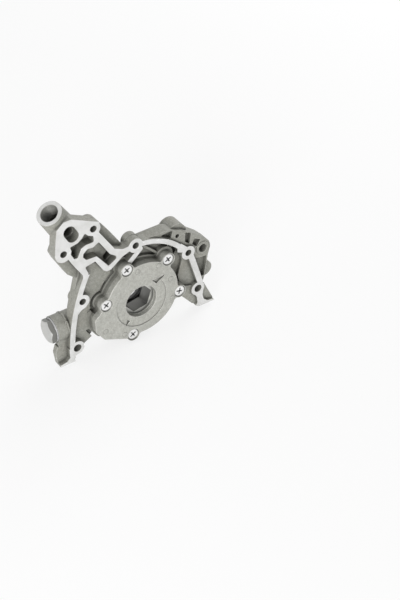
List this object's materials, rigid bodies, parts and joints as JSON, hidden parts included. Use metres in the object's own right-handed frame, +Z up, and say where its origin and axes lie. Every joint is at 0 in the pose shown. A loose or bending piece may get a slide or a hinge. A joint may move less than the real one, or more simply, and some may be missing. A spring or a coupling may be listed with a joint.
{
  "type": "engine oil pump",
  "caption": "Crank-driven internal-gear engine oil pump: cast flange housing with ribbed bracket, port arm and snout, screwed cover, relief valve and shaft seal",
  "frame": {"origin": "crank axis in the plane of the block flange", "axes": "-Y out of the flange towards the engine block, +Y into the housing to the timing side, +X right seen from the block, +Z up"},
  "size_m": [0.185, 0.0357, 0.177],
  "materials": {
    "casting": "fine sand-cast, machined on the land",
    "cover_casting": "die-cast",
    "zinc_screw": "bright zinc plated",
    "gear_steel": "sintered and ground, oiled",
    "seal_steel": "pressed, dull",
    "seal_rubber": "moulded",
    "spring_steel": "drawn wire",
    "plug_steel": "zinc plated",
    "washer_aluminium": "soft, plain"
  },
  "bodies": {
    "housing_body": {"housing": "casting", "pump_cover": "cover_casting", "cover_screws": "zinc_screw", "seal_case": "seal_steel", "seal_lip": "seal_rubber", "seal_garter_spring": "spring_steel", "relief_plug": "plug_steel", "relief_washer": "washer_aluminium", "relief_spring": "spring_steel"},
    "ring": {"outer_gear": "gear_steel"},
    "pinion": {"inner_gear": "gear_steel"},
    "valve": {"relief_piston": "gear_steel"}
  },
  "joints": [
    {"name": "ring_spin", "type": "hinge", "parent": "housing_body", "child": "ring", "pos_m": [0.00308, 0.0077, 0.00456], "axis": [0, 1, 0], "continuous": true},
    {"name": "pinion_spin", "type": "hinge", "parent": "housing_body", "child": "pinion", "pos_m": [0, 0.0077, 0], "axis": [0, 1, 0], "continuous": true},
    {"name": "valve_slide", "type": "slide", "parent": "housing_body", "child": "valve", "axis": [-1, 0, 0], "range_m": [0, 0.008], "stiffness_N_per_m": 900, "deforming": ["relief_spring"]}
  ],
  "couplings": [
    {"joint": "pinion_spin", "follows": "ring_spin", "ratio": 1.25}
  ]
}
